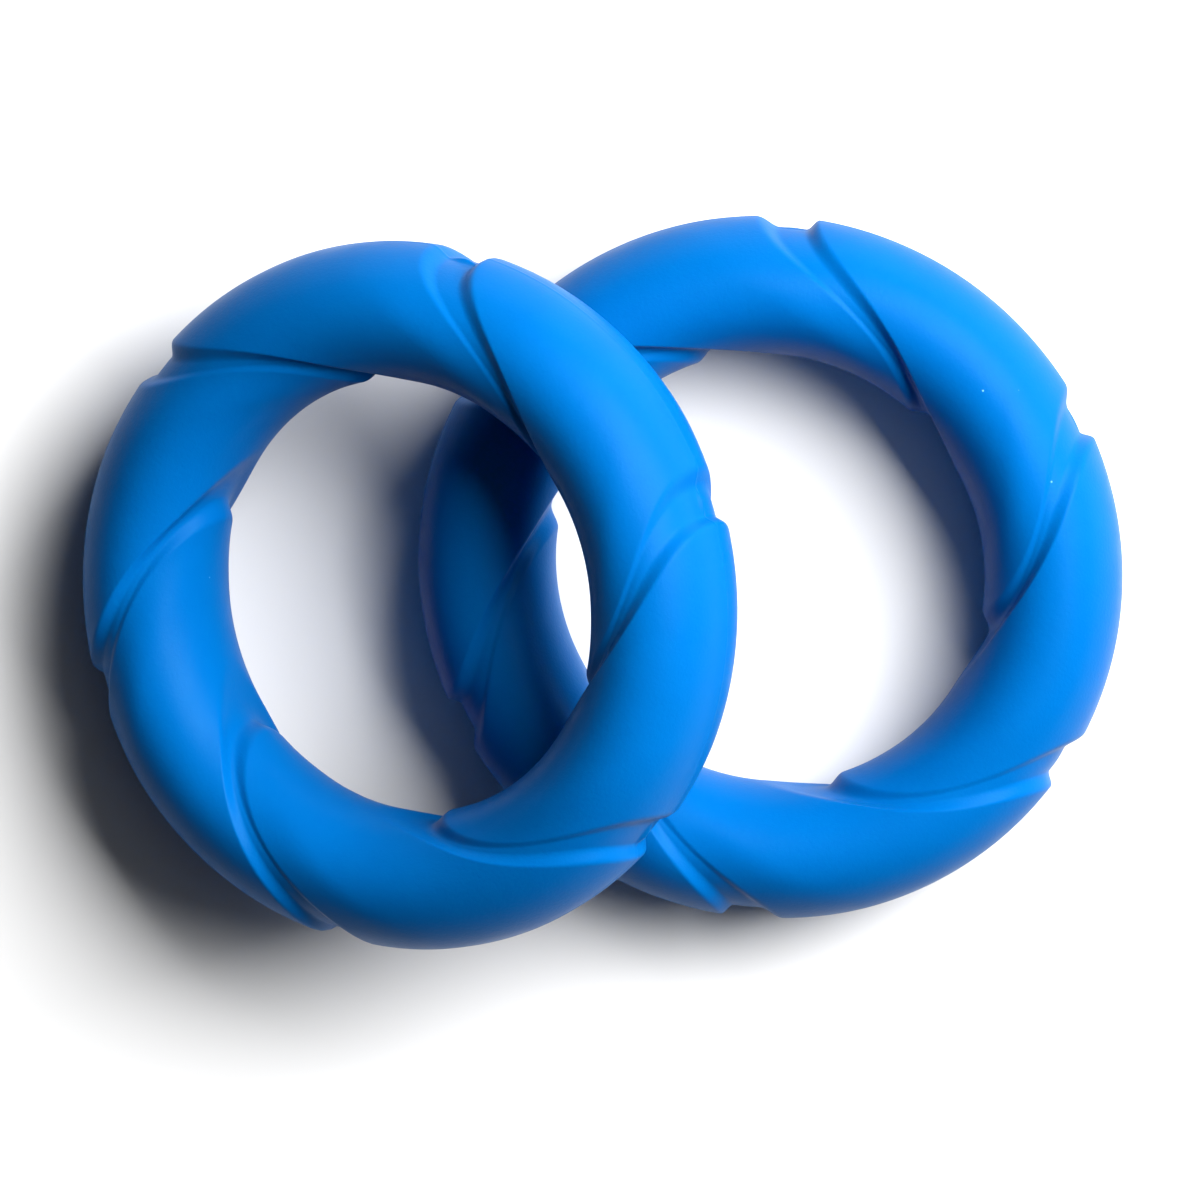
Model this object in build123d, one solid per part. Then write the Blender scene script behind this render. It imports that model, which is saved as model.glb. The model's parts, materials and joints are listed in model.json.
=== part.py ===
from build123d import *

import os
from math import cos, hypot, pi, radians, sin

# A pair of identical soft moulded rings. The lower ring lies flat. The upper ring stands on the
# floor with one side and leans on the lower ring with the other.
# Millimetres and degrees. +Z is up. +X runs from the leaning ring to the flat one.
# The origin is on the floor, under the middle of the pair's box.

# One ring
OUTER_DIAMETER = 60.0
TUBE_WIDTH = 11.7
TUBE_HEIGHT = 14.9
LOBES = 6

# The groove between two lobes. It runs round the tube from the outside to the inside of the ring,
# and swings clockwise as it goes. The lower half of the ring mirrors the upper half.
GROOVE_SWING = 42.5
SWING_POWER = 1.55
GROOVE_DEPTH = 0.9
DEPTH_ON_TOP = 0.5
FLOOR_ANGLE = 4.0
STEEP_WALL_ANGLE = 3.5
GENTLE_WALL_OUTSIDE = 2.0
GENTLE_WALL_ON_TOP = 7.5
GENTLE_WALL_INSIDE = 17.0
INSIDE_FLARE_POWER = 12

# How the pair lies
LEAN = 23.5
CENTRE_DISTANCE = 30.4
LOWER_GROOVE_AT = 23.8
UPPER_GROOVE_AT = 16.9

# How finely the surface is sampled
STEPS_ALONG_LOBE = 20
POINTS_AROUND_TUBE = 20

HALF_WIDTH = TUBE_WIDTH / 2
HALF_HEIGHT = TUBE_HEIGHT / 2
CENTRE_LINE_RADIUS = OUTER_DIAMETER / 2 - HALF_WIDTH
LOBE_ANGLE = 360 / LOBES


def gentle_wall_angle(around):
    """Angle that the wall on the clockwise side of a groove takes up, for a place on the tube."""
    inward = (1 - cos(around)) / 2
    bulge_on_top = (GENTLE_WALL_ON_TOP - GENTLE_WALL_OUTSIDE) * sin(around) ** 2
    flare_inside = (GENTLE_WALL_INSIDE - GENTLE_WALL_OUTSIDE) * inward**INSIDE_FLARE_POWER
    return GENTLE_WALL_OUTSIDE + bulge_on_top + flare_inside


def groove_depth(turn, around):
    """Depth below the plain tube, at an angle round the ring and an angle round the tube."""
    inward = (1 - cos(around)) / 2
    bottom_line = -GROOVE_SWING * inward**SWING_POWER
    beside = (turn - bottom_line + LOBE_ANGLE / 2) % LOBE_ANGLE - LOBE_ANGLE / 2
    half_floor = FLOOR_ANGLE / 2 * (1 - inward)
    wall = STEEP_WALL_ANGLE if beside > 0 else gentle_wall_angle(around)
    up_the_wall = min(max((abs(beside) - half_floor) / wall, 0), 1)
    full_depth = DEPTH_ON_TOP + (GROOVE_DEPTH - DEPTH_ON_TOP) * cos(around) ** 2
    return full_depth * (1 + cos(pi * up_the_wall)) / 2


def ring_point(turn, around):
    """A point of the ring's surface. around is 0 on the outside and pi on the inside."""
    depth = groove_depth(turn, around)
    normal_out = HALF_HEIGHT * cos(around)
    normal_up = HALF_WIDTH * sin(around)
    normal_length = hypot(normal_out, normal_up)
    radius = CENTRE_LINE_RADIUS + HALF_WIDTH * cos(around) - depth * normal_out / normal_length
    height = HALF_HEIGHT * sin(around) - depth * normal_up / normal_length
    angle = radians(turn)
    return (radius * cos(angle), radius * sin(angle), height)


def tube_section(turn):
    """The closed outline of the tube at an angle round the ring."""
    steps = range(POINTS_AROUND_TUBE)
    points = [ring_point(turn, 2 * pi * step / POINTS_AROUND_TUBE) for step in steps]
    return Wire(Edge.make_spline(points, periodic=True))


def make_ring():
    """One ring, lying flat round the origin with a groove at the +X side."""
    steps = range(STEPS_ALONG_LOBE + 1)
    sections = [tube_section(LOBE_ANGLE * step / STEPS_ALONG_LOBE) for step in steps]
    lobe = Solid.make_loft(sections, ruled=True)
    skin = [face for face in lobe.faces() if face.geom_type != GeomType.PLANE]
    faces = [Rotation(0, 0, turn * LOBE_ANGLE) * face for turn in range(LOBES) for face in skin]
    return Solid(Shell(faces))


def reach(tilt, half_across, half_along):
    """How far an oval section reaches along a direction tilted by an angle from its height."""
    return hypot(half_along * cos(tilt), half_across * sin(tilt))


lean = radians(LEAN)
low_side_reach = reach(lean, HALF_WIDTH, HALF_HEIGHT)
left_side_reach = reach(lean, HALF_HEIGHT, HALF_WIDTH)
upper_height = CENTRE_LINE_RADIUS * sin(lean) + low_side_reach
upper_half_length = CENTRE_LINE_RADIUS * cos(lean) + left_side_reach
lower_x = (CENTRE_DISTANCE + upper_half_length - OUTER_DIAMETER / 2) / 2
upper_x = lower_x - CENTRE_DISTANCE

ring = make_ring()
lower_place = Pos(lower_x, 0, HALF_HEIGHT) * Rotation(0, 0, LOWER_GROOVE_AT)
upper_place = Pos(upper_x, 0, upper_height) * Rotation(0, -LEAN, 0) * Rotation(0, 0, UPPER_GROOVE_AT)
parts = {
    "lower_ring": lower_place * ring,
    "upper_ring": upper_place * ring,
}

os.makedirs("parts", exist_ok=True)
for name, part in parts.items():
    export_step(part, f"parts/{name}.step")
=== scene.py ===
import json
from math import cos, pi, radians, sin

import bpy
import numpy as np
from mathutils import Matrix, Vector


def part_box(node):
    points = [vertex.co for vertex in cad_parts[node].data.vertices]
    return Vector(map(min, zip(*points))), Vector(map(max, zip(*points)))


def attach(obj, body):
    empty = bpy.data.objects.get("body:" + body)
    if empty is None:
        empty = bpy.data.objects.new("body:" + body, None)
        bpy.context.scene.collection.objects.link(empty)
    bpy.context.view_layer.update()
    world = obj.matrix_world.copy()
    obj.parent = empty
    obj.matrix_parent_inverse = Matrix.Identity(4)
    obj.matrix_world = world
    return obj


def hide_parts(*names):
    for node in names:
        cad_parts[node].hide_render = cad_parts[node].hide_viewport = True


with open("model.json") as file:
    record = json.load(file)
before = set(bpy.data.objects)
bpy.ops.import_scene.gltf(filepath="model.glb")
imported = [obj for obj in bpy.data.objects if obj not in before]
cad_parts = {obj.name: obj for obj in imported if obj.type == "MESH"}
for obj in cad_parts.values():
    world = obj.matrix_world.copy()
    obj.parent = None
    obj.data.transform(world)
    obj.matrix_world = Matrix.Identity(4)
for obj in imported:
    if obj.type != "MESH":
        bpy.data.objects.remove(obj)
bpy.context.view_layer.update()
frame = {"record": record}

# A pair of soft moulded silicone rings. The upper ring leans on the lower one. Each ring's surface
# is one formula: a tube of oval section with slanted grooves between its lobes. "turn" is an angle
# round the ring, "around" an angle round the tube (0 outside, pi inside), and "beside" is how far
# a point lies ahead of its groove's middle. The leading wall is on that side of the groove, and
# the trailing wall is behind the middle.
MM = 0.001
LOBES = 6
LOBE_ANGLE = 360 / LOBES

# The groove between two lobes, in degrees round the ring and millimetres of depth
GROOVE_SWING = 42.5
SWING_POWER = 1.55
DEPTH_OUTSIDE = 0.95
DEPTH_ON_TOP = 0.55
DEPTH_INSIDE = 0.95
FLOOR_ANGLE = 4.4
LEADING_WALL_OUTSIDE = 4.0
LEADING_WALL_ON_TOP = 2.6
LEADING_WALL_INSIDE = 6.0
LEADING_INSIDE_POWER = 4
TRAILING_WALL_OUTSIDE = 2.0
TRAILING_WALL_ON_TOP = 4.4
TRAILING_WALL_INSIDE = 17.0
TRAILING_INSIDE_POWER = 12
TRAILING_CRISPNESS = 0.75
SHOULDER_DEPTH = 0.42
SHOULDER_ANGLE = 20.0

# What the mould leaves at the parting plane. Heights are in millimetres and half angles in degrees
# round the tube. The overhang is how far the flash reaches past the groove's floor, in degrees
# round the ring.
FLASH_HALF_ANGLE = 2.2
FLASH_OVERHANG = 1.2
PARTING_LINE_HEIGHT = 0.035
PARTING_LINE_HALF_ANGLE = 1.2

# How finely a ring is sampled, and how strongly the rows crowd into the grooves and the columns
# towards the parting plane
ROWS_PER_LOBE = 90
COLUMNS = 180
ROW_CROWDING = 0.55
COLUMN_CROWDING = 0.6
COLUMN_CROWDS = 2

# Where each ring's first groove is, how the soft ring has gone out of round, and how high the
# mould's flash stands in its grooves in millimetres
RINGS = {
    "lower_ring": {"body": "lower", "groove_at": 23.8, "oval": 0.015, "oval_at": 126.0, "flash": 0.06},
    "upper_ring": {"body": "upper", "groove_at": 16.9, "oval": 0.009, "oval_at": 84.0, "flash": 0.30},
}

# The silicone
SILICONE_IOR = 1.42
SILICONE_SPECULAR = 0.05
SILICONE_SPECULAR_TINT = (0.5, 0.9, 1.0, 1.0)
SUBSURFACE_WEIGHT = 0.12
SUBSURFACE_RADIUS = (0.1, 0.45, 1.0)
SUBSURFACE_SCALE = 0.0012
DEEP_BLUE = (0.0, 0.086, 0.298, 1)
CLOUDY_BLUE = (0.0, 0.094, 0.322, 1)
DUST_COLOUR = (0.20, 0.50, 0.75, 1)
ROUGHNESS_RANGE = (0.34, 0.42)
MID_NOISE = (0.3, 0.7)
CLOUD_SCALE = 90
CLOUD_DETAIL = 3
SMEAR_SCALE = 260
SMEAR_DETAIL = 4
SPECK_SCALE = 420
SPECK_EDGE = (0.028, 0.045)
DUSTY_AREA_SCALE = 160
DUSTY_AREA_DETAIL = 2
DUSTY_AREA_EDGE = (0.60, 0.66)
DUST_STRENGTH = 0.55
GRAIN = {"scale": 3600, "detail": 2, "roughness": 0.6, "strength": 0.25, "distance": 0.00007}
RIPPLE = {"scale": 420, "detail": 3, "roughness": 0.5, "strength": 0.12, "distance": 0.0002}

# The floor
FLOOR_HALF_SIZE = 1.5
FLOOR_COLOUR = (0.72, 0.72, 0.72, 1)
FLOOR_ROUGHNESS = 0.8
FLOOR_SPECULAR = 0.2

# The lights: azimuth and elevation in degrees, distance and size in metres, power in watts
LIGHTS = {
    "key": {"azimuth": 33, "elevation": 42, "distance": 0.6, "size": 0.50, "power": 15.0},
    "fill": {"azimuth": 20, "elevation": 65, "distance": 0.9, "size": 0.70, "power": 0.6},
}
ROOM_COLOUR = (1.0, 0.98, 0.96, 1)
ROOM_STRENGTH = 0.025

# The camera looks down almost straight from above
LOOK_AT = Vector((-0.00056, -0.00324, 0))
CAMERA_LEAN = Vector((0.0407, 0.1344, 1)).normalized()
IMAGE_TURN = radians(2.41)
CAMERA_DISTANCE = 1.7094
FRAME_WIDTH_AT_FLOOR = 0.10256
SENSOR_WIDTH = 36
CLIP_START = 0.01


def fade(x):
    """1 at 0 and below, 0 at 1 and above, with a soft slope between."""
    return (1 + np.cos(pi * np.clip(x, 0, 1))) / 2


def groove_bottom_line(around):
    """Angle round the ring of the middle of the groove, for a place on the tube."""
    inward = (1 - np.cos(around)) / 2
    return -GROOVE_SWING * inward**SWING_POWER


def groove_depth(beside, around):
    """Depth of the surface below the plain tube."""
    inward = (1 - np.cos(around)) / 2
    top = np.sin(around) ** 2
    half_floor = FLOOR_ANGLE / 2 * (1 - inward)
    leading = LEADING_WALL_OUTSIDE + (LEADING_WALL_ON_TOP - LEADING_WALL_OUTSIDE) * top
    leading = leading + (LEADING_WALL_INSIDE - LEADING_WALL_OUTSIDE) * inward**LEADING_INSIDE_POWER
    trailing = TRAILING_WALL_OUTSIDE + (TRAILING_WALL_ON_TOP - TRAILING_WALL_OUTSIDE) * top
    flare = (TRAILING_WALL_INSIDE - TRAILING_WALL_OUTSIDE) * inward**TRAILING_INSIDE_POWER
    trailing = trailing + flare
    wall = np.where(beside > 0, leading, trailing)
    up_the_wall = (np.abs(beside) - half_floor) / wall
    crisp = np.where(beside > 0, 0, TRAILING_CRISPNESS * top)
    profile = fade(up_the_wall) * (1 - crisp) + (1 - np.clip(up_the_wall, 0, 1) ** 2) * crisp
    ends = DEPTH_OUTSIDE + (DEPTH_INSIDE - DEPTH_OUTSIDE) * inward
    full = DEPTH_ON_TOP * top + ends * (1 - top)
    shoulder = SHOULDER_DEPTH * np.sqrt(top) * fade(beside / SHOULDER_ANGLE)
    shoulder = shoulder * np.where(beside > 0, 1 - profile, 0)
    return full * profile + shoulder


def mould_marks(beside, around, flash_height):
    """Height of the flash left in the groove and of the fine parting line round the ring."""
    from_outside = np.degrees(np.abs((around + pi) % (2 * pi) - pi))
    in_groove = fade(np.abs(beside) / (FLOOR_ANGLE / 2 + FLASH_OVERHANG))
    flash = flash_height * in_groove * np.exp(-((from_outside / FLASH_HALF_ANGLE) ** 2))
    line = PARTING_LINE_HEIGHT * np.exp(-((from_outside / PARTING_LINE_HALF_ANGLE) ** 2))
    return flash + line


def crowded(count, period, crowding, crowds):
    """count values over one period, closer together round each of its evenly spaced crowds."""
    t = np.arange(count) / count
    return period * (t - crowding * np.sin(2 * pi * crowds * t) / (2 * pi * crowds))


def ring_mesh(name, outer_radius, half_width, half_height, setting):
    """The mesh of one ring round the origin, lying flat, in metres."""
    centre_line = outer_radius - half_width
    beside_one = crowded(ROWS_PER_LOBE, LOBE_ANGLE, ROW_CROWDING, 1)
    beside_one = np.where(beside_one > LOBE_ANGLE / 2, beside_one - LOBE_ANGLE, beside_one)
    turn_one = beside_one + LOBE_ANGLE * (beside_one < 0)
    rows = np.concatenate([turn_one + LOBE_ANGLE * lobe for lobe in range(LOBES)])
    beside_all = np.tile(beside_one, LOBES)
    around = crowded(COLUMNS, 2 * pi, COLUMN_CROWDING, COLUMN_CROWDS)
    beside, tube = np.meshgrid(beside_all, around, indexing="ij")
    turn = np.meshgrid(rows, around, indexing="ij")[0]
    turn = turn + groove_bottom_line(tube) + setting["groove_at"]
    lift = (mould_marks(beside, tube, setting["flash"]) - groove_depth(beside, tube)) * MM
    normal_out = half_height * np.cos(tube)
    normal_up = half_width * np.sin(tube)
    length = np.hypot(normal_out, normal_up)
    out_of_round = 1 + setting["oval"] * np.cos(np.radians(2 * (turn - setting["oval_at"])))
    radius = centre_line * out_of_round + half_width * np.cos(tube) + lift * normal_out / length
    height = half_height * np.sin(tube) + lift * normal_up / length
    angle = np.radians(turn)
    points = np.stack([radius * np.cos(angle), radius * np.sin(angle), height], axis=-1)
    rows_total, columns = beside.shape
    row, column = np.meshgrid(np.arange(rows_total), np.arange(columns), indexing="ij")
    next_row, next_column = (row + 1) % rows_total, (column + 1) % columns
    corners = [
        row * columns + column,
        next_row * columns + column,
        next_row * columns + next_column,
        row * columns + next_column,
    ]
    faces = np.stack(corners, axis=-1).reshape(-1, len(corners))
    mesh = bpy.data.meshes.new(name)
    mesh.from_pydata(points.reshape(-1, 3).tolist(), [], faces.tolist())
    mesh.polygons.foreach_set("use_smooth", [True] * len(mesh.polygons))
    mesh.update()
    return mesh


def silicone():
    """Satin moulded silicone: fine grain, a little light let through, smears and dust."""
    material = bpy.data.materials.new("satin_silicone")
    material.use_nodes = True
    nodes, links = material.node_tree.nodes, material.node_tree.links
    shader = nodes["Principled BSDF"]
    shader.inputs["IOR"].default_value = SILICONE_IOR
    shader.inputs["Specular IOR Level"].default_value = SILICONE_SPECULAR
    shader.inputs["Specular Tint"].default_value = SILICONE_SPECULAR_TINT
    shader.inputs["Subsurface Weight"].default_value = SUBSURFACE_WEIGHT
    shader.inputs["Subsurface Radius"].default_value = SUBSURFACE_RADIUS
    shader.inputs["Subsurface Scale"].default_value = SUBSURFACE_SCALE
    place = nodes.new("ShaderNodeTexCoord")

    def noise(scale, detail, roughness=0.5):
        node = nodes.new("ShaderNodeTexNoise")
        node.inputs["Scale"].default_value = scale
        node.inputs["Detail"].default_value = detail
        node.inputs["Roughness"].default_value = roughness
        links.new(place.outputs["Object"], node.inputs["Vector"])
        return node.outputs["Fac"]

    def ramp(source, low_high, first, last):
        node = nodes.new("ShaderNodeMapRange")
        node.inputs["From Min"].default_value = low_high[0]
        node.inputs["From Max"].default_value = low_high[1]
        node.inputs["To Min"].default_value = first
        node.inputs["To Max"].default_value = last
        links.new(source, node.inputs["Value"])
        return node.outputs["Result"]

    def mixed(factor, first, second):
        node = nodes.new("ShaderNodeMix")
        node.data_type = "RGBA"
        links.new(factor, node.inputs["Factor"])
        for socket, value in (("A", first), ("B", second)):
            target = [s for s in node.inputs if s.name == socket and s.type == "RGBA"][0]
            if isinstance(value, tuple):
                target.default_value = value
            else:
                links.new(value, target)
        return [s for s in node.outputs if s.type == "RGBA"][0]

    def bump(setting):
        node = nodes.new("ShaderNodeBump")
        node.inputs["Strength"].default_value = setting["strength"]
        node.inputs["Distance"].default_value = setting["distance"]
        pattern = noise(setting["scale"], setting["detail"], setting["roughness"])
        links.new(pattern, node.inputs["Height"])
        return node

    base = mixed(ramp(noise(CLOUD_SCALE, CLOUD_DETAIL), MID_NOISE, 0, 1), DEEP_BLUE, CLOUDY_BLUE)
    specks = nodes.new("ShaderNodeTexVoronoi")
    specks.inputs["Scale"].default_value = SPECK_SCALE
    links.new(place.outputs["Object"], specks.inputs["Vector"])
    near_speck = ramp(specks.outputs["Distance"], SPECK_EDGE, 1, 0)
    dusty_area = ramp(noise(DUSTY_AREA_SCALE, DUSTY_AREA_DETAIL), DUSTY_AREA_EDGE, 0, DUST_STRENGTH)
    dust = nodes.new("ShaderNodeMath")
    dust.operation = "MULTIPLY"
    links.new(near_speck, dust.inputs[0])
    links.new(dusty_area, dust.inputs[1])
    links.new(mixed(dust.outputs[0], base, DUST_COLOUR), shader.inputs["Base Color"])
    roughness = ramp(noise(SMEAR_SCALE, SMEAR_DETAIL), MID_NOISE, *ROUGHNESS_RANGE)
    links.new(roughness, shader.inputs["Roughness"])
    grain, ripple = bump(GRAIN), bump(RIPPLE)
    links.new(grain.outputs["Normal"], ripple.inputs["Normal"])
    links.new(ripple.outputs["Normal"], shader.inputs["Normal"])
    return material


def add_ring(name, setting, material, outer_radius, half_width, half_height):
    """Makes one ring where the frame has it, riding on its body in place of the plain CAD ring."""
    mount = [m for m in frame["record"]["mounts"] if m["name"] == name + "_hole"][0]
    up = Vector(mount["axis"]).normalized()
    side = Vector((0, 1, 0))
    out = side.cross(up)
    place = Matrix((out, side, up)).transposed().to_4x4()
    place.translation = Vector(mount["pos_m"])
    mesh = ring_mesh(name + "_moulding", outer_radius, half_width, half_height, setting)
    mesh.transform(place)
    mesh.materials.append(material)
    piece = bpy.data.objects.new(name + "_moulding", mesh)
    bpy.context.collection.objects.link(piece)
    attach(piece, setting["body"])
    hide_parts(name)


def add_floor():
    """A plain pale floor."""
    r = FLOOR_HALF_SIZE
    mesh = bpy.data.meshes.new("floor")
    mesh.from_pydata([(-r, -r, 0), (r, -r, 0), (r, r, 0), (-r, r, 0)], [], [(0, 1, 2, 3)])
    floor = bpy.data.objects.new("floor", mesh)
    bpy.context.collection.objects.link(floor)
    material = bpy.data.materials.new("pale_floor")
    material.use_nodes = True
    shader = material.node_tree.nodes["Principled BSDF"]
    shader.inputs["Base Color"].default_value = FLOOR_COLOUR
    shader.inputs["Roughness"].default_value = FLOOR_ROUGHNESS
    shader.inputs["Specular IOR Level"].default_value = FLOOR_SPECULAR
    mesh.materials.append(material)


def add_camera():
    """The camera, with the picture's up direction turned by IMAGE_TURN from the frame's +Y."""
    data = bpy.data.cameras.new("camera")
    data.sensor_width = SENSOR_WIDTH
    data.lens = SENSOR_WIDTH * CAMERA_DISTANCE / FRAME_WIDTH_AT_FLOOR
    data.clip_start = CLIP_START
    camera = bpy.data.objects.new("camera", data)
    bpy.context.collection.objects.link(camera)
    back = CAMERA_LEAN
    image_up = Vector((sin(IMAGE_TURN), cos(IMAGE_TURN), 0))
    right = image_up.cross(back).normalized()
    up = back.cross(right)
    place = Matrix((right, up, back)).transposed().to_4x4()
    place.translation = LOOK_AT + back * CAMERA_DISTANCE
    camera.matrix_world = place
    bpy.context.scene.camera = camera


def add_light(name, setting):
    """A square soft box that faces the middle of the pair."""
    data = bpy.data.lights.new(name, "AREA")
    data.shape = "SQUARE"
    data.size = setting["size"]
    data.energy = setting["power"]
    light = bpy.data.objects.new(name, data)
    bpy.context.collection.objects.link(light)
    azimuth, elevation = radians(setting["azimuth"]), radians(setting["elevation"])
    level = cos(elevation)
    direction = Vector((cos(azimuth) * level, sin(azimuth) * level, sin(elevation)))
    light.location = direction * setting["distance"]
    light.rotation_euler = direction.to_track_quat("Z", "Y").to_euler()


def add_room_light():
    """The weak even light of the room."""
    world = bpy.data.worlds.new("studio")
    bpy.context.scene.world = world
    world.use_nodes = True
    background = world.node_tree.nodes["Background"]
    background.inputs["Color"].default_value = ROOM_COLOUR
    background.inputs["Strength"].default_value = ROOM_STRENGTH


low, high = (Vector(corner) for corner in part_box("lower_ring"))
ring_outer_radius = (high.y - low.y) / 2
ring_half_height = (high.z - low.z) / 2
hole_radius = frame["record"]["mounts"][0]["dims"]["r_mm"] * MM
ring_half_width = (ring_outer_radius - hole_radius) / 2
ring_material = silicone()
for ring_name, ring_setting in RINGS.items():
    add_ring(ring_name, ring_setting, ring_material, ring_outer_radius, ring_half_width, ring_half_height)
add_floor()
for light_name, light_setting in LIGHTS.items():
    add_light(light_name, light_setting)
add_room_light()
add_camera()
bpy.context.scene.view_settings.view_transform = "Standard"
